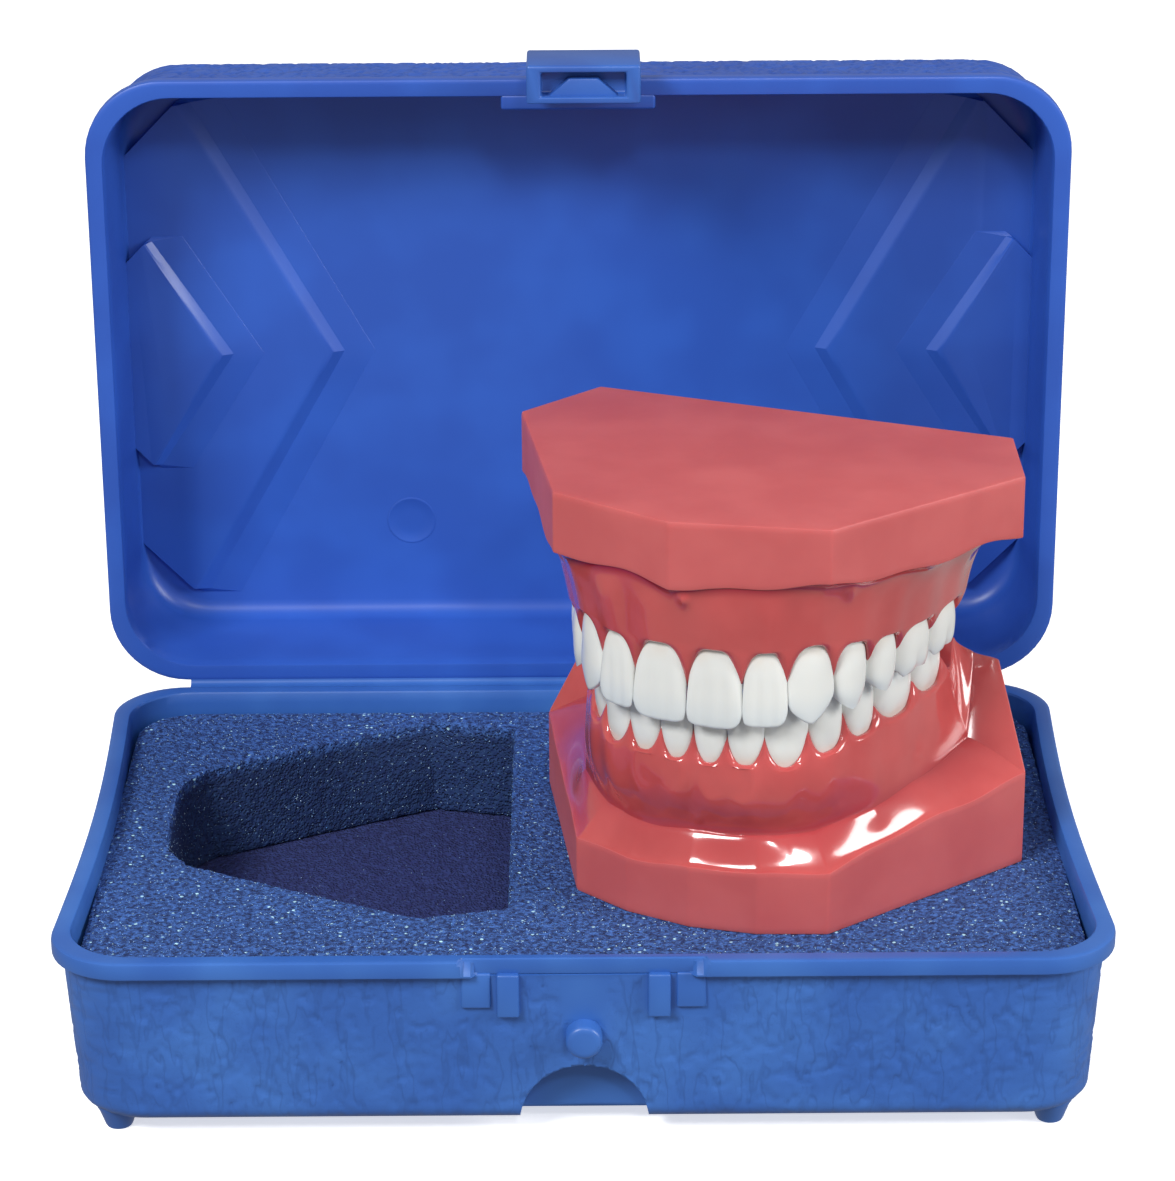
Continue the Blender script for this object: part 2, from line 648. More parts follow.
def make_lid():
    loops, grain = [], []
    for inset, level, rough in lid_rows():
        outline = case_outline(LID_X - inset, LID_START + inset, LID_REACH - inset,
                               max(13.0 - inset * 0.5, 4.0))
        loops.append(np.column_stack([outline, np.full(len(outline), level)]))
        grain.append(np.full(len(outline), rough))
    lid = rings("case_lid_visual", loops)
    set_attribute(lid, "grain", np.concatenate(grain))
    apply_nodes(lid, leather, Depth=0.00028, Scale=400.0, Stretch=1.0, Wander=0.0010)
    for side in (-1, 1):
        for kind, (*_, level) in CHEVRONS.items():
            deep = 0.6 + 0.3 * level
            sunk = [(-1.0, 2.3), (deep - 0.3, 1.8), (deep - 0.05, 1.95)]
            boolean(lid, chevron(kind, side, sunk, RELIEF_END))
    pieces = [lid]
    for side in (-1, 1):
        for kind, (*_, level) in CHEVRONS.items():
            base, top = WALL + STEP * (level - 1), WALL + STEP * level
            rows = [(base - 0.3, -5.6), (base + 0.02, -5.2), (base + 0.12, -4.4), (base + 0.48, 0.0),
                    (top - 0.35, 1.7), (top - 0.14, 2.1), (top - 0.03, 2.5), (top, 3.2)]
            pieces.append(chevron(kind, side, rows, CHEVRON_END))
    pieces.append(box("ledge", (-LEDGE_HALF, LID_REACH - 5.2, LID_DEEP - LIP_TALL),
                      (LEDGE_HALF, LID_REACH - 2.6, LID_DEEP - 0.02), 0.5))
    mark = [(2.0, -0.3), (4.3, -0.3), (4.3, 0.03), (4.15, 0.08), (3.95, 0.08), (3.8, 0.02), (2.0, 0.02)]
    pieces.append(lathe("ejector_mark", [(radius, WALL + rise) for radius, rise in mark], (-30, 22, 0)))
    lid = join(pieces, "case_lid_visual")
    return move(lid, math.radians(90), "X", (0, 54.1 + SHIFT + LID_DEEP, RIM_Z))


lid = make_lid()
print("lid:", len(lid.data.polygons), "faces")

# %% [markdown]
# Hinge web: a strip half a millimetre thick that joins tray and lid and bends at the hinge.
# It was moulded flat and has turned paler where it folds. Here it bends between the two bodies.

# %% Hinge web
def make_web():
    path = [(52.4, 31.20), (53.0, 31.28), (53.5, 31.30), (53.9, 31.38), (54.2, 31.60), (54.38, 31.95),
            (54.42, 32.4), (54.44, 33.0)]
    loops = []
    for x in np.linspace(-68, 68, 60):
        over = [(x, y + 0.16, z - 0.2) for y, z in path]
        under = [(x, y - 0.16, z + 0.2) for y, z in reversed(path)]
        loops.append(over + under)
    return move(rings("hinge_web_visual", loops), place=(0, SHIFT, 0))


web = make_web()
set_attribute(web, "grain", np.zeros(len(web.data.vertices)))
print("hinge web:", len(web.data.polygons), "faces")

# %% [markdown]
# Latch flap: a thick tab hinged on the lid's edge. Its free end has a recess with a sloping
# ramp that rides over the knob and snaps behind it.

# %% Latch
def make_latch():
    near, low = LID_REACH - 1.2, LID_DEEP + 0.62
    flap = box("flap", (-9.2, near, low), (9.2, near + 6.3, low + 11.5))
    boolean(flap, box("mouth", (-6.9, near + 1.1, low + 8.5), (6.9, near + 5.1, low + 12.5)))
    bevel(flap, 0.45, 3)
    foot, crest = 5.8, 2.3  # half widths of the ramp
    ramp = [[(-foot, near + 0.9, z), (foot, near + 0.9, z), (crest, near + 3.9, z), (-crest, near + 3.9, z)]
            for z in (low + 8.2, low + 10.5)]
    piece = bevel(rings("ramp", ramp), 0.25, 2)
    flap = join([flap, piece], "latch_flap_visual")
    return move(flap, math.radians(90), "X", (0.9, 54.1 + SHIFT + LID_DEEP, RIM_Z))


latch = make_latch()
set_attribute(latch, "grain", np.zeros(len(latch.data.vertices)))
print("latch:", len(latch.data.polygons), "faces")

# %% [markdown]
# Foam insert: cut from sheet, with one pocket for each jaw. The blade leaves flat faces whose
# open cells give a torn, pitted skin. It is cut as a solid, turned into an even skin of small
# faces and then roughened by nodes, which also scatter the bright broken cell windows on it.

# %% Foam
def foam_nodes():
    group = bpy.data.node_groups.new("cut_foam", "GeometryNodeTree")
    group.interface.new_socket("Geometry", in_out="INPUT", socket_type="NodeSocketGeometry")
    for name, kind, value in (("Roughness", "Float", 0.0004), ("Scale", "Float", 900.0),
                              ("Density", "Float", 900000.0), ("Size", "Float", 0.00016),
                              ("Seed", "Int", 4), ("Glint", "Material", None)):
        socket = group.interface.new_socket(name, in_out="INPUT", socket_type=f"NodeSocket{kind}")
        if value is not None:
            socket.default_value = value
    group.interface.new_socket("Geometry", in_out="OUTPUT", socket_type="NodeSocketGeometry")
    start = group.nodes.new("NodeGroupInput")
    given = {socket.name: Value(group, socket) for socket in start.outputs if socket.name}
    base = given["Geometry"]
    position = Value(group, group.nodes.new("GeometryNodeInputPosition").outputs[0])
    normal = Value(group, group.nodes.new("GeometryNodeInputNormal").outputs[0])
    torn = base.node("ShaderNodeTexNoise", {"Vector": position, "Scale": given["Scale"], "Detail": 3.0})
    push = (torn - 0.5) * given["Roughness"]
    offset = base.node("ShaderNodeVectorMath", operation="SCALE", inputs={0: normal, "Scale": push})
    skin = base.node("GeometryNodeSetPosition", {"Geometry": base, "Offset": offset})
    spots = base.node("GeometryNodeDistributePointsOnFaces",
                      {"Mesh": skin, "Density": given["Density"], "Seed": given["Seed"]})
    window = base.node("GeometryNodeMeshCone", {"Vertices": 3, "Radius Bottom": given["Size"],
                                                 "Depth": given["Size"] * 0.5})
    turn = base.node("FunctionNodeRandomValue", data_type="FLOAT_VECTOR",
                     inputs={0: (-0.9, -0.9, 0.0), 1: (0.9, 0.9, 6.28), 8: given["Seed"]})
    large = group.nodes.new("FunctionNodeRandomValue")
    large.inputs[2].default_value, large.inputs[3].default_value = 0.4, 1.3
    copies = base.node("GeometryNodeInstanceOnPoints", {"Points": spots, "Instance": window, "Rotation": turn,
                                                        "Scale": Value(group, large.outputs[1])})
    real = base.node("GeometryNodeRealizeInstances", {"Geometry": copies})
    painted = base.node("GeometryNodeSetMaterial", {"Geometry": real, "Material": given["Glint"]})
    joined = group.nodes.new("GeometryNodeJoinGeometry")
    group.links.new(painted.socket, joined.inputs[0])
    group.links.new(skin.socket, joined.inputs[0])
    end = group.nodes.new("NodeGroupOutput")
    group.links.new(joined.outputs[0], end.inputs[0])
    return group


def foam_outline(level):
    less = LIP_OUT + WALL * 1.35 + 0.3 + (RIM_Z - level) * (INSET - LIP_OUT) / (RIM_Z - BOTTOM)
    outline = case_outline(RIM_X - less, -RIM_Y + less, RIM_Y - less,
                           max(RIM_CORNER - less * 0.5, 3.0), 0.0, (4, 4, 8))
    return np.column_stack([outline, np.full(len(outline), level)])


# half of a pocket's outline: how far from the case's middle, and from the pocket's own middle line
POCKET = [(11.6, 34.6), (25.5, 37.9), (44.0, 28.5), (62.5, 18.5), (66.0, 13.0), (66.5, 8.5)]
POCKET_MIDDLE = 7.0


def foam_block(name, low, high, pockets, fineness):
    """A cut block of foam between two levels, as an even closed skin."""
    block = rings(name, [foam_outline(low), foam_outline(high)])
    boolean(block, box("notch", (-11.7, -RIM_Y, low - 5), (11.7, -RIM_Y + INSET + 6.6, BOTTOM + 11.7)))
    if pockets:
        for side in (-1, 1):
            corners = [(side * x, POCKET_MIDDLE - y) for x, y in POCKET]
            corners += [(side * x, POCKET_MIDDLE + y) for x, y in reversed(POCKET)]
            cut = [[(x, y, z) for x, y in corners] for z in (low - 2, high + 2)]
            boolean(block, rings("pocket", cut))
    remesh = block.modifiers.new("even", "REMESH")
    remesh.mode = "VOXEL"
    remesh.voxel_size = fineness * MM
    evaluated(block)
    return block


def foam_glint():
    made = Material("foam_glint")
    tone = made.noise(2500.0, 1.0).ramp(0.3, 0.7)
    made.set(Base_Color=tone.mix((0.10, 0.34, 0.80), (0.62, 0.88, 1.0)), Roughness=0.25)
    return made.material


foam_group = foam_nodes()
glint_material = foam_glint()
foam_insert = foam_block("foam_insert_visual", FOAM_SPLIT + 0.1, FOAM_TOP, True, 0.62)
foam_insert.data.materials.append(foam_top_material)
foam_insert.data.materials.append(glint_material)
apply_nodes(foam_insert, foam_group, Roughness=0.0006, Scale=1000.0, Density=700000.0, Size=0.00013, Seed=4,
            Glint=glint_material)
move(foam_insert, place=(0, SHIFT, 0))
foam_base = foam_block("foam_base_visual", BOTTOM + WALL + 0.1, FOAM_SPLIT, False, 0.95)
foam_base.data.materials.append(foam_pad_material)
foam_base.data.materials.append(glint_material)
apply_nodes(foam_base, foam_group, Roughness=0.0007, Scale=600.0, Density=60000.0, Size=0.00010, Seed=9,
            Glint=glint_material)
move(foam_base, place=(0, SHIFT, 0))
print("foam:", len(foam_insert.data.polygons), "and", len(foam_base.data.polygons), "faces")

# %% [markdown]
# Both arches follow one kind of curve, a squared ellipse, and each tooth takes its width along
# it. Teeth are built for the left side and mirrored for the right. Heights are counted from
# the flat of the block towards the bite, so upper and lower jaws share the same code.

# %% Arches
JAWS_TALL = 67.5
ARCH = {"upper": (30.4, 50.4), "lower": (27.9, 47.6)}
REACH, POWER = 60.0, 2 / 2.8
NAMES = ["central_incisor", "lateral_incisor", "canine", "first_premolar", "second_premolar",
         "first_molar", "second_molar"]
# width along the arch, depth across it, level of the neck, level of the tip
CROWNS = {
    "upper": [(8.8, 6.6, 46.8, 34.3), (6.8, 5.9, 46.8, 35.0), (7.8, 7.8, 47.6, 34.9), (7.3, 9.0, 46.6, 35.7),
              (7.2, 9.0, 45.8, 36.6), (10.3, 11.0, 45.2, 36.3), (9.7, 10.6, 45.1, 36.5)],
    "lower": [(5.4, 5.6, 27.4, 36.6), (5.8, 5.9, 27.6, 36.8), (7.0, 7.2, 27.1, 37.4), (7.1, 7.7, 28.6, 37.7),
              (7.3, 8.2, 29.4, 37.7), (11.2, 10.2, 29.7, 37.7), (10.6, 9.8, 30.2, 37.7)],
}
lift = next(joint for joint in frame["joints"] if joint["name"] == "upper_jaw_lift")
LIFT_AXIS = Vector(lift["axis"])
TURN = math.atan2(LIFT_AXIS.x, -LIFT_AXIS.y)
BLOCK_TOP = next(m for m in frame["record"]["mounts"] if m["name"] == "upper_block_top")["pos_m"]
HEEL = (BLOCK_TOP[0] / MM - 20 * math.sin(TURN), BLOCK_TOP[1] / MM + 20 * math.cos(TURN), FOAM_TOP)


def curve_table(arch):
    half, front = ARCH[arch]
    turn = np.linspace(0, math.pi / 2, 6001)
    x = half * np.sin(turn) ** POWER
    y = REACH - front - REACH * np.cos(turn) ** POWER
    return np.concatenate([[0], np.cumsum(np.hypot(np.diff(x), np.diff(y)))]), x, y


def arch_at(arch, travel):
    """Points of the arch curve and its outward normals, for signed distances from the middle."""
    length, x, y = curve_table(arch)
    travel = np.atleast_1d(np.asarray(travel, float))
    side, far = np.sign(travel) + (travel == 0), abs(travel)
    step = 0.8
    place = np.column_stack([np.interp(far, length, x) * side, np.interp(far, length, y)])
    ahead, behind = far + step, far - step
    ax, ay = np.interp(ahead, length, x), np.interp(ahead, length, y)
    bx, by = np.interp(abs(behind), length, x), np.interp(abs(behind), length, y)
    bx = bx * np.sign(behind + 1e-9)
    dx, dy = ax - bx, ay - by
    size = np.hypot(dx, dy)
    return place, np.column_stack([dy / size * side, -dx / size])


def curve(keys, values, at):
    """A smooth curve through keys."""
    keys, values, at = np.asarray(keys, float), np.asarray(values, float), np.asarray(at, float)
    slope = np.gradient(values, keys)
    index = np.clip(np.searchsorted(keys, at, side="right") - 1, 0, len(keys) - 2)
    wide = keys[index + 1] - keys[index]
    part = np.clip((at - keys[index]) / wide, 0, 1)
    p2, p3 = part ** 2, part ** 3
    return ((2 * p3 - 3 * p2 + 1) * values[index] + (p3 - 2 * p2 + part) * wide * slope[index]
            + (3 * p2 - 2 * p3) * values[index + 1] + (p3 - p2) * wide * slope[index + 1])


def to_case(points):
    """From the jaws' own frame to the case's, in millimetres."""
    c, s = math.cos(TURN), math.sin(TURN)
    points = np.asarray(points, float)
    x, y = points[:, 0], points[:, 1]
    return np.column_stack([HEEL[0] + c * x - s * y, HEEL[1] + s * x + c * y, HEEL[2] + points[:, 2]])


print("jaws stand at", [round(v, 2) for v in HEEL], "turned", round(math.degrees(TURN), 2))

# %% [markdown]
# Teeth: each is a root and crown in one skin. A crown is a stack of squared ovals from the
# neck to a rim whose height changes round the tooth, so that incisors get an edge with round
# corners, canines a point, premolars two cusps and molars four, with grooves between.

# %% Teeth
# height from neck to tip, width, depth and distance behind the arch curve, as parts of the crown
PROFILES = {
    "incisor": [(-1.0, .36, .38, .26), (-.45, .58, .64, .12), (0, .78, .88, .07), (.14, .85, .83, .035),
                (.32, .92, .70, .008), (.55, .97, .48, .0), (.78, .995, .30, .003), (.92, .985, .215, .012),
                (1.0, .94, .155, .028)],
    "canine": [(-1.0, .36, .38, .26), (-.45, .58, .64, .11), (0, .79, .88, .06), (.16, .88, .84, .02),
               (.36, .96, .72, .0), (.58, .995, .52, .0), (.76, .985, .38, .006), (.90, .95, .28, .018),
               (1.0, .90, .20, .035)],
    "premolar": [(-1.0, .40, .42, .24), (-.45, .60, .70, .11), (0, .80, .87, .06), (.16, .88, .92, .025),
                 (.38, .96, .96, .0), (.62, .98, .95, .004), (.84, .95, .90, .02), (1.0, .87, .80, .055)],
    "molar": [(-1.0, .60, .50, .22), (-.45, .76, .76, .09), (0, .85, .87, .05), (.16, .91, .93, .02), (.38, .97, .98, .0),
              (.62, .98, .97, .004), (.84, .955, .93, .02), (1.0, .90, .85, .05)],
}
KIND = ["incisor", "incisor", "canine", "premolar", "premolar", "molar", "molar"]
BITE = 38.0
AROUND = 72


def crown(arch, number, side):
    """One tooth in the jaws' frame, and how high each point stands on its crown."""
    width, depth, neck, tip = CROWNS[arch][number]
    kind = KIND[number]
    travel = sum(row[0] for row in CROWNS[arch][:number]) + width / 2
    place, out = arch_at(arch, travel)
    place, out = place[0], out[0]
    along = np.array([-out[1], out[0]])
    tall, up = abs(tip - neck), math.copysign(1, tip - neck)
    keys = np.array(PROFILES[kind])
    turns = np.linspace(0, 2 * math.pi, AROUND, endpoint=False)
    c, s = np.cos(turns), np.sin(turns)
    square = 0.70 if kind == "molar" else 0.80
    lip = s > 0
    across = np.sign(c) * abs(c) ** np.where(lip, square, 0.9)
    deep = np.sign(s) * abs(s) ** np.where(lip, 0.62 if kind == "incisor" else 0.78, 0.95)
    narrow = {"incisor": 0.34, "canine": 0.38, "premolar": 0.30, "molar": 0.16}[kind]
    drop = rim_drop(arch, number, kind, across, deep, c, s, tall)
    spread = across * (1 - narrow * (1 - deep) / 2)
    spread = spread / abs(spread).max() * 0.99
    levels = np.concatenate([np.linspace(-1, -0.1, 8), np.linspace(0, 1, 34)])
    loops, heights = [], []

    def loop(level, wide, thick, inset, rise):
        a = spread * width / 2 * wide
        b = depth * inset + depth / 2 * thick * (1 - deep) + relief(arch, kind, across, deep, level)
        xy = place + a[:, None] * along - b[:, None] * out
        z = neck + up * rise
        z = keep_bite(arch, kind, z, b)
        loops.append(np.column_stack([xy * [side, 1], z]))
        heights.append(np.full(AROUND, max(level, 0.0)))

    for level in levels:
        wide, thick, inset = (float(curve(keys[:, 0], keys[:, column], level)) for column in (1, 2, 3))
        long = 7.0 if level < 0 else tall
        rise = level * long - (drop * max(level, 0.0) ** 3 * tall)
        loop(level, wide, thick, inset, rise)
    _, wide, thick, inset = keys[-1]
    if kind in ("incisor", "canine"):
        for part, raised in ((0.75, 0.10), (0.4, 0.17), (0.1, 0.19)):
            loop(1.0, wide * (0.96 + 0.04 * part), thick * part, inset + thick * (1 - part) / 2,
                 tall * (1 - drop) + raised)
    else:
        for part in np.linspace(0.94, 0.06, 12):
            rise = tall * (1 - drop)
            cusp = 0.10 * math.sin(math.pi * min((1 - part) / 0.45, 1.0)) * (1 if kind == "molar" else 0.8)
            fossa = 1.9 * float(smooth(0.25, 1.0, 1 - part))
            level_to = rise * part + (1 - part) * (tall * (1 - float(np.mean(drop))))
            valley = abs(c) if kind == "premolar" else np.minimum(abs(c), abs(s))
            groove = 0.28 * np.exp(-(valley / 0.16) ** 2)
            groove = groove * math.sin(math.pi * part) ** 0.5
            loop(1.0, wide * part, thick * part, inset + thick * (1 - part) / 2,
                 level_to + cusp * tall * 0.3 - fossa - groove * (1 if kind == "molar" else 0.6))
    return loops, np.concatenate(heights)


def rim_drop(arch, number, kind, across, deep, c, s, tall):
    """How much lower than the tip the rim is round the tooth, as a part of the crown."""
    distal = across > 0
    if kind == "incisor":
        corner = np.where(distal, 0.15, 0.07) if arch == "upper" else 0.05
        return corner * abs(across) ** 4
    if kind == "canine":
        return np.where(distal, 0.30, 0.22) * abs(across) ** 1.25 + 0.10 * (1 - deep) / 2
    tongue = (1 - deep) / 2
    clip = max(0.0, 1 - (abs(CROWNS[arch][number][2] - BITE) - 0.2) / tall) if arch == "upper" else 0.03
    if kind == "premolar":
        return np.where(distal, 0.24, 0.19) * abs(across) ** 1.3 * (1 - 0.4 * tongue) + clip * tongue ** 0.7
    return 0.13 * abs(np.cos(2 * np.arctan2(s, c))) ** 1.4 + clip * tongue ** 0.7


def relief(arch, kind, across, deep, level):
    """Shallow shaping of the lip or cheek face, in millimetres inwards."""
    face = np.clip(deep, 0, 1)
    fade = float(smooth(0.12, 0.5, level))
    if kind == "incisor":
        grooves = np.exp(-((across - 0.30) / 0.16) ** 2) + np.exp(-((across + 0.30) / 0.16) ** 2)
        return face * (0.13 if arch == "upper" else 0.05) * fade * grooves
    if kind == "canine":
        return face * 0.42 * fade * abs(across) ** 1.4
    if kind == "premolar":
        return face * 0.34 * fade * abs(across) ** 1.6
    return face * 0.38 * float(smooth(0.25, 0.9, level)) * np.exp(-(across / 0.17) ** 2)


def keep_bite(arch, kind, z, behind):
    """Stop the chewing faces at the bite, but for the upper cheek cusps outside the lower ones."""
    if kind not in ("premolar", "molar"):
        return z
    if arch == "upper":
        return np.maximum(z, BITE + 0.12 - np.clip(1.85 - behind, 0, 2) * 1.9)
    return np.minimum(z, BITE - 0.36)


teeth = []
for arch in ("upper", "lower"):
    for hand, side in (("left", 1), ("right", -1)):
        for number, tooth in enumerate(NAMES):
            node = f"{arch}_{hand}_{tooth}"
            loops, heights = crown(arch, number, side)
            loops = [to_case(loop) for loop in loops]
            piece = rings(f"{node}_visual", loops, math.radians(60))
            set_attribute(piece, "height", heights)
            piece.data.materials.append(enamel_material)
            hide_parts(node)
            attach(piece, f"{arch}_jaw_set")
            teeth.append(piece)
print("teeth:", len(teeth), "with", len(teeth[0].data.polygons), "faces each")

# %% [markdown]
# Jaws: each is one skin made of columns that run across the arch, from the trimmed block over
# the gum and between the teeth to the palate or the tongue's space. The gum edge scallops
# round every neck and rises to a point between teeth, roots swell under it, and the block's
# corners fall exactly on columns so that its faces stay flat.

# %% Jaws
# outline corners of each block with the height of its edge above the block's flat
OUTLINE = {
    "upper": [(-34.5, 0.0, 12.6), (-41.1, -16.0, 9.6), (-21.9, -48.6, 9.9), (-1.4, -54.1, 10.2), (21.9, -48.6, 9.4),
              (41.1, -16.0, 10.0), (34.5, 0.0, 12.2)],
    "lower": [(-33.5, 0.0, 30.6), (-40.6, -7.5, 12.6), (-20.7, -43.3, 9.2), (-10.6, -47.35, 9.6), (0.0, -48.8, 9.8),
              (10.6, -47.35, 10.2), (20.7, -43.3, 10.8), (40.6, -7.5, 15.6), (33.5, 0.0, 30.6)],
}
FLOOR = {"upper": JAWS_TALL - 55.0, "lower": 14.0}


def height_of(arch, level):
    """Height above the block's flat, for a level of the standing jaws."""
    return JAWS_TALL - level if arch == "upper" else level


def station_of(arch, x, y):
    """The place along the arch whose normal passes through a point outside it."""
    travel = np.linspace(0.05, 75, 3000)
    place, out = arch_at(arch, travel)
    off = np.array([abs(x), y]) - place
    beside = abs(off[:, 0] * out[:, 1] - off[:, 1] * out[:, 0])
    return float(travel[np.argmin(beside)]) * (1 if x >= 0 else -1)


def block_edge(arch, travel):
    """Outline point and edge height for each station, straight between the outline's corners."""
    keys = [(station_of(arch, x, y) if x else 0.0, x, y, rise) for x, y, rise in OUTLINE[arch]]
    keys = np.array(keys)
    return np.column_stack([np.interp(travel, keys[:, 0], keys[:, column]) for column in (1, 2, 3)])


def tooth_at(arch, travel):
    """For each station: place within its tooth from -1 to 1, width, depth, neck and crown height."""
    rows = CROWNS[arch]
    ends = np.cumsum([row[0] for row in rows])
    far = np.minimum(abs(travel), ends[-1] - 1e-6)
    number = np.searchsorted(ends, far)
    middle = ends - np.array([row[0] for row in rows]) / 2
    wide = np.array([row[0] for row in rows])[number]
    part = (abs(travel) - middle[number]) / (wide / 2)
    columns = [np.interp(far, middle, [value(row) for row in rows]) for value in
               (lambda row: row[1], lambda row: height_of(arch, row[2]), lambda row: abs(row[3] - row[2]))]
    return part, number, *columns


def bezier(points, part):
    """A point of a cubic curve, for arrays of control points."""
    a, b, c, d = points
    q = 1 - part
    return a * q ** 3 + 3 * b * q * q * part + 3 * c * q * part * part + d * part ** 3


def jaw_columns(arch):
    stations = [station_of(arch, x, y) if x else 0.0 for x, y, _ in OUTLINE[arch]]
    travel = []
    for here, there in zip(stations, stations[1:]):
        count = max(4, int(abs(there - here) / 0.42))
        travel += list(np.linspace(here, there, count, endpoint=False))
    travel = np.array(travel + [stations[-1]])
    corners = [station for station, (x, *_) in zip(stations, OUTLINE[arch])
               if abs(x) > 12 or arch == "upper"]
    extra = [station + shift for station in corners[1:-1] for shift in (-0.22, 0.22)]
    return np.unique(np.round(np.concatenate([travel, extra]), 5)), corners


def make_jaw(arch):
    travel, corners = jaw_columns(arch)
    place, out = arch_at(arch, travel)
    place[0, 1] = place[-1, 1] = 0.0
    edge = block_edge(arch, travel)
    rim, edge_rise = edge[:, :2], edge[:, 2]
    for corner in corners[1:-1]:
        near = np.argmin(abs(travel - corner))
        rim[near] = rim[near] * 0.5 + (rim[near - 1] + rim[near + 1]) * 0.25
    wave = 0.50 * np.sin(travel * 0.21 + 0.8) + 0.32 * np.sin(travel * 0.47 + 2.0)
    ends = np.clip((abs(travel[0]) - abs(travel)) / 8.0, 0, 1)
    edge_rise = edge_rise + wave * ends * (1.0 if arch == "upper" else 0.6)
    span = rim - place
    dist = np.hypot(span[:, 0], span[:, 1])
    toward = span / dist[:, None]
    part, number, depth, neck, tall = tooth_at(arch, travel)
    beyond = smooth(1.0, 1.5, part * (abs(travel) > 20))
    inside = np.clip(abs(part), 0, 1)
    front = (number < 3).astype(float)
    front = np.interp(abs(travel), [0, 20, 30], [1, 1, 0])
    papilla = tall * (0.62 * front + 0.40 * (1 - front)) * (1 - beyond)
    scallop = papilla * inside ** 3.4 * (1 - beyond)
    behind = smooth(1.0, 2.6, part * (abs(travel) > 20))
    crest = {"upper": JAWS_TALL - 50.0, "lower": 33.2}[arch]
    margin = neck + scallop
    margin = margin * (1 - behind) + crest * behind
    foot = (neck - 0.4) * (1 - behind) + (crest - 0.4) * behind
    lip = -2.0 * behind
    loops, polish, crease = [], [], []

    def add(xy, height, shine, dark):
        height = np.broadcast_to(np.asarray(height, float), travel.shape)
        loops.append(np.column_stack([xy, JAWS_TALL - height if arch == "upper" else height]))
        polish.append(np.broadcast_to(np.asarray(shine, float), travel.shape))
        crease.append(np.broadcast_to(np.asarray(dark, float), travel.shape))

    for inward, height in ((0.45, 0.0), (0.12, 0.08), (0.0, 0.4)):
        add(rim - toward * inward, height, 0, 0)
    for step in np.linspace(0.08, 0.94, 7):
        add(rim, 0.4 + (edge_rise - 0.85) * step, 0, 0)
    add(rim, edge_rise - 0.38, 0, 0)
    add(rim - toward * 0.07, edge_rise - 0.14, 0.3, 0)
    fall = foot - edge_rise
    reach = dist - 0.32
    near_front = np.interp(abs(travel), [0, 16, 30], [1, 1, 0])
    if arch == "upper":
        wall = np.minimum(1.5 + 0.12 * dist, reach)
        start, start_rise, gentle = reach, edge_rise, (wall, edge_rise + 0.9)
    else:
        start = -2.3 * near_front + 0.25 * dist * (1 - near_front)
        start_rise, gentle = edge_rise + 0.28 * fall, (start - 0.2, edge_rise + 0.42 * fall)
        slope = ((reach, edge_rise), (reach - 0.9, edge_rise + 0.35),
                 (start + 0.3 * (reach - start), start_rise - 0.4), (start, start_rise))
        for step in np.linspace(0, 1, 13)[:-1]:
            away, height = (bezier([item[column] for item in slope], step) for column in (0, 1))
            add(place + toward * away[:, None], height, 1, 0.45 * step ** 2)
    wall = ((start, start_rise), gentle, (lip + 1.2, foot - 0.45 * fall), (lip + 0.35, foot))
    swell = 0.36 * front + 0.20 * (1 - front)
    for step in np.linspace(0, 1, 36):
        away, height = (bezier([item[column] for item in wall], step) for column in (0, 1))
        body = float(smooth(0.2, 0.65, step))
        bulge = swell * np.cos(inside * math.pi / 2) ** 2 * body * (1 - beyond)
        frenum = 0.8 * np.exp(-((travel - 0.4) / 0.7) ** 2) * math.exp(-((step - 0.30) / 0.14) ** 2)
        fold = 0.4 * np.exp(-((abs(travel) - 24) / 0.9) ** 2) * math.exp(-((step - 0.30) / 0.14) ** 2)
        bulge = bulge + (frenum + fold) * (1.0 if arch == "upper" else 0.4)
        dark = smooth(0.32, 0.02, step) if arch == "upper" else 0.45 * smooth(0.35, 0.0, step)
        limit = np.minimum(away + bulge, np.maximum(dist - 0.32, away))
        add(place + toward * limit[:, None], height, 1, dark)
    swell = swell * (1 - beyond)
    for step in np.linspace(0.12, 1, 9):
        away = lip + 0.35 * math.sqrt(1 - step ** 2) - 1.4 * inside ** 2 * step ** 1.5 * (1 - beyond)
        away = away + swell * np.cos(inside * math.pi / 2) ** 2 * (1 - step)
        add(place + toward * away[:, None], foot + (margin - foot) * step, 1, 0.3 * inside ** 4 * step)
    lip = away
    thick = depth * (0.93 - 0.12 * inside ** 2)
    thick = thick * (1 - behind) + (depth * 0.7) * behind
    inner = place - out * thick[:, None]
    inner[0, 1] = inner[-1, 1] = 0.0
    outer_xy = place + toward * lip[:, None]
    for step in (0.08, 0.25, 0.5, 0.75, 0.92):
        hump = 0.9 * math.sin(math.pi * step) * behind
        add(outer_xy * (1 - step) + inner * step, margin + hump - 0.2 * (1 - behind), 1, 0.25)
    spine = np.column_stack([np.zeros_like(travel), inner[:, 1] * 0.80])
    spine[0, 1] = spine[-1, 1] = 0.0
    run = spine - inner
    length = np.hypot(run[:, 0], run[:, 1])
    course = run / np.maximum(length, 1e-6)[:, None]
    floor = FLOOR[arch] + (0.0 if arch == "lower" else 1.8) * smooth(0.35, 1.0, abs(inner[:, 1]) / 44.0)
    drop = margin - floor
    zeros = np.zeros_like(travel)
    if arch == "upper":
        line = ((zeros, margin), (zeros + 0.9, margin - 0.55 * drop), (0.42 * length, floor - 0.2),
                (length, floor))
    else:
        line = ((zeros, margin), (zeros + 1.6, margin - 0.75 * drop), (0.16 * length + 2.0, floor),
                (length, floor))
    for step in np.linspace(0, 1, 34):
        away = bezier([item[0] for item in line], step)
        height = bezier([item[1] for item in line], step)
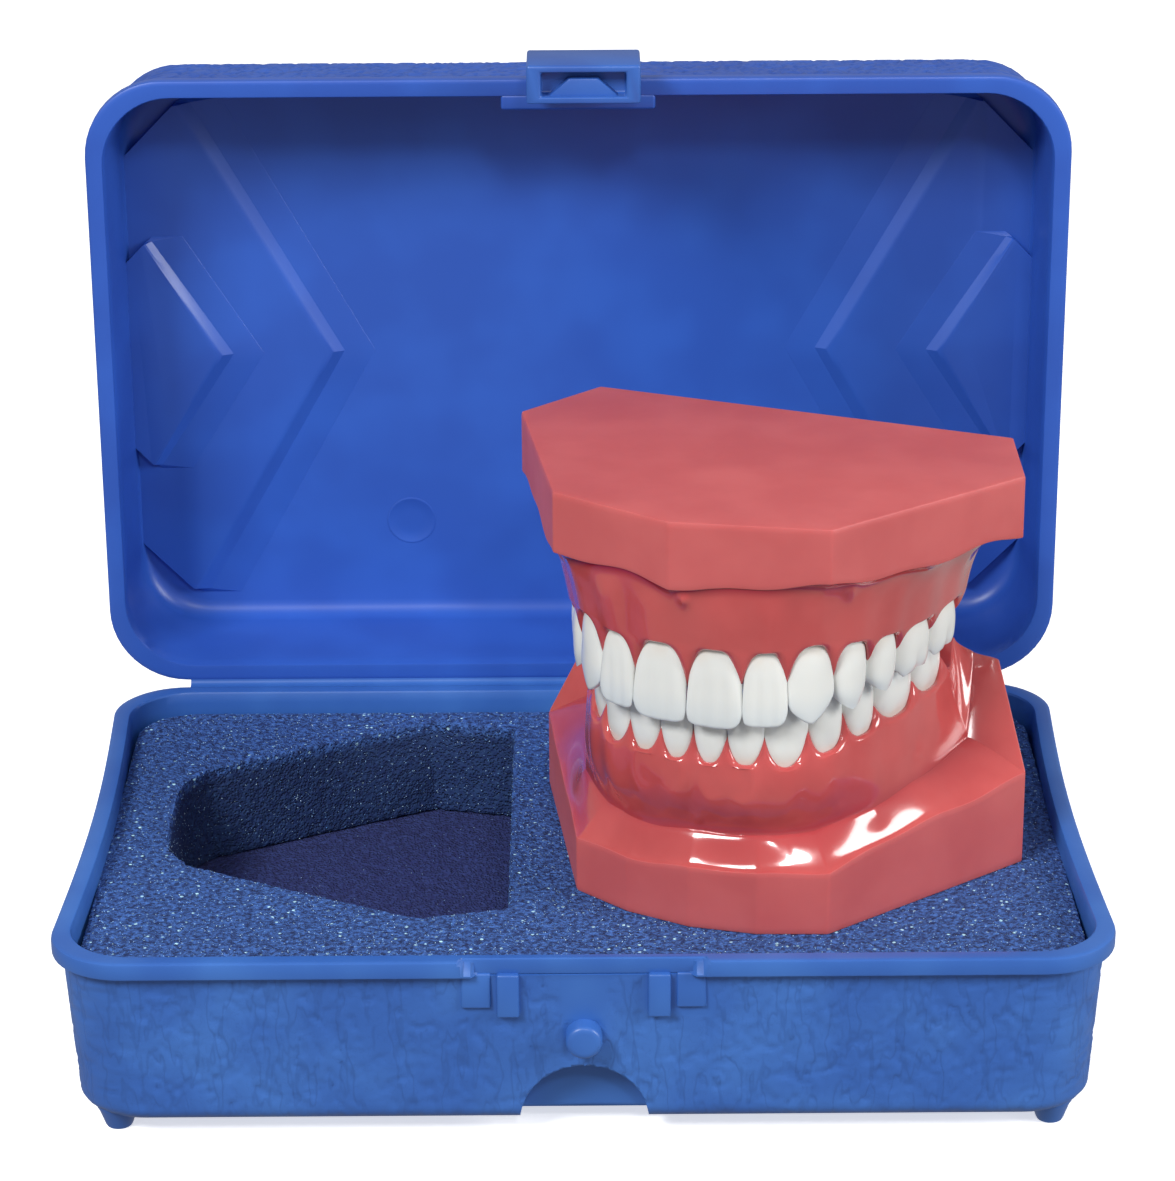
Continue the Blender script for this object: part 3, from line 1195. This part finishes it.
        roll = 0.5 * math.exp(-((step - 0.05) / 0.05) ** 2) * (1 - behind)
        rugae = 0.0
        if arch == "upper":
            rugae = 0.35 * np.exp(-((step - 0.62) / 0.2) ** 2) * np.sin(inner[:, 1] * 0.9)
            rugae = rugae * smooth(18, 26, -inner[:, 1])
        xy = inner + course * np.maximum(away - roll, -0.6)[:, None]
        if step == 1.0:
            xy, rugae = spine.copy(), 0.0
        xy[0, 1] = xy[-1, 1] = 0.0
        add(xy, height + rugae, 1, 0.15)
    columns = len(travel)
    faces = grid_faces(len(loops), columns, closed=False)
    points = np.concatenate(loops)
    for row in range(len(loops)):
        points[row * columns, 1] = points[row * columns + columns - 1, 1] = 0.0
    faces.append(tuple(range(columns)))
    last = len(loops) - 1
    heel = [row * columns for row in range(last + 1)]
    heel += [row * columns + columns - 1 for row in range(last - 1, -1, -1)]
    faces.append(tuple(heel))
    return finish_jaw(arch, points, faces, last * columns, columns, polish, crease)


def finish_jaw(arch, points, faces, spine, columns, polish, crease):
    """Join the two halves of the spine row, so that the skin is closed."""
    merged = list(range(len(points)))
    for column in range(columns // 2):
        other = spine + columns - 1 - column
        points[other] = points[spine + column]
        merged[other] = spine + column
    clean = []
    for face in faces:
        face = [merged[index] for index in face]
        face = [index for place, index in enumerate(face) if index != face[place - 1]]
        if len(face) > 2:
            clean.append(face)
    item = make_mesh(f"{arch}_jaw_visual", to_case(points), clean, math.radians(24))
    set_attribute(item, "polish", np.concatenate(polish))
    set_attribute(item, "crease", np.concatenate(crease))
    work = bmesh.new()
    work.from_mesh(item.data)
    loose = [vertex for vertex in work.verts if not vertex.link_faces]
    bmesh.ops.delete(work, geom=loose, context="VERTS")
    work.to_mesh(item.data)
    work.free()
    item.data.materials.append(gum_material)
    return item


jaws = {arch: make_jaw(arch) for arch in ("upper", "lower")}
print("jaws:", {arch: len(item.data.polygons) for arch, item in jaws.items()})

# %% [markdown]
# Each piece now takes its finish, rides on the body of its CAD node and stands for it. The
# hinge web bends between tray and lid, and the foam is declared as a full pad.

# %% Join the frame
PLACES = [
    (tray, "case_tray", "case", "case_plastic", case_material),
    (lid, "case_lid", "lid", "case_plastic", lid_material),
    (latch, "latch_flap", "latch", "latch_plastic", latch_material),
    (foam_insert, "foam_insert", "case", "foam", None),
    (foam_base, "foam_base", "case", "foam_pad", None),
    (jaws["upper"], "upper_jaw", "upper_jaw_set", "gum_acrylic", None),
    (jaws["lower"], "lower_jaw", "lower_jaw_set", "gum_acrylic", None),
]
for piece, node, body, slot, material in PLACES:
    if material:
        piece.data.materials.clear()
        piece.data.materials.append(material)
    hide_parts(node)
    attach(piece, body)
web.data.materials.append(case_material)
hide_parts("hinge_web")
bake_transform(web)
for node, item in frame["nodes"].items():
    item.data.materials.clear()
    item.data.materials.append(case_material)

# %% [markdown]
# A plain white table that curves up behind, one large soft key from the upper left, a smaller
# window on the right that draws the bright shapes on the polished gum, and an even white room.

# %% Floor, lights and camera
def make_floor():
    points, columns = [], (-3.0, 3.0)
    bend = [(1.0 + 0.6 * math.sin(turn), 0.6 - 0.6 * math.cos(turn)) for turn in np.linspace(0.1, 1.5, 16)]
    profile = [(-3.0, 0.0), (1.0, 0.0)] + bend + [(1.6, 3.0)]
    for y, z in profile:
        points += [(x / MM, y / MM, z / MM) for x in columns]
    faces = [(2 * row, 2 * row + 1, 2 * row + 3, 2 * row + 2) for row in range(len(profile) - 1)]
    floor = make_mesh("table", points, faces)
    made = Material("table")
    tone = made.noise(3.0, 1.0).ramp(0.3, 0.7)
    made.set(Base_Color=tone.mix((0.95, 0.95, 0.95), (0.96, 0.96, 0.96)), Roughness=0.7,
             Emission_Color=(1.0, 1.0, 1.0, 1.0), Emission_Strength=0.60)
    floor.data.materials.append(made.material)
    floor.visible_diffuse = floor.visible_glossy = False


def soft_light(name, place, aim, wide, tall, watts, colour=(1, 1, 1)):
    data = bpy.data.lights.new(name, "AREA")
    data.shape, data.size, data.size_y = "RECTANGLE", wide, tall
    data.energy, data.color = watts, colour
    item = bpy.data.objects.new(name, data)
    item.location = place
    item.rotation_euler = (Vector(aim) - Vector(place)).to_track_quat("-Z", "Y").to_euler()
    bpy.context.scene.collection.objects.link(item)
    return item


make_floor()
soft_light("key", (-0.65, -0.78, 0.92), (0.0, 0.0, 0.06), 0.45, 0.35, 13.5)
soft_light("window", (0.95, -0.42, 0.50), (0.02, 0.0, 0.06), 0.35, 0.45, 8.0, (1.0, 0.99, 0.98))
soft_light("front", (0.16, -0.92, 0.78), (0.02, 0.0, 0.06), 0.12, 0.12, 2.2)
world = bpy.data.worlds.new("room")
world.use_nodes = True
world.node_tree.nodes["Background"].inputs["Color"].default_value = (1.0, 1.0, 1.0, 1.0)
world.node_tree.nodes["Background"].inputs["Strength"].default_value = 0.36
bpy.context.scene.world = world

scene = bpy.context.scene
scene.view_settings.view_transform = "Standard"
scene.render.resolution_x, scene.render.resolution_y = 1175, 1181
camera_data = bpy.data.cameras.new("camera")
camera_data.lens, camera_data.sensor_width, camera_data.clip_end = 114.5, 36.0, 20.0
camera = bpy.data.objects.new("camera", camera_data)
scene.collection.objects.link(camera)
YAW, PITCH, ROLL = 0.0016, 0.3724, -0.0059
forward = Vector((math.sin(YAW) * math.cos(PITCH), math.cos(YAW) * math.cos(PITCH), -math.sin(PITCH)))
right = Vector((math.cos(YAW), -math.sin(YAW), 0.0))
above = right.cross(forward)
right, above = (right * math.cos(ROLL) + above * math.sin(ROLL),
                above * math.cos(ROLL) - right * math.sin(ROLL))
camera.matrix_world = Matrix((
    (right.x, above.x, -forward.x, 0.00011), (right.y, above.y, -forward.y, -0.56105),
    (right.z, above.z, -forward.z, 0.2842), (0, 0, 0, 1)))
scene.camera = camera
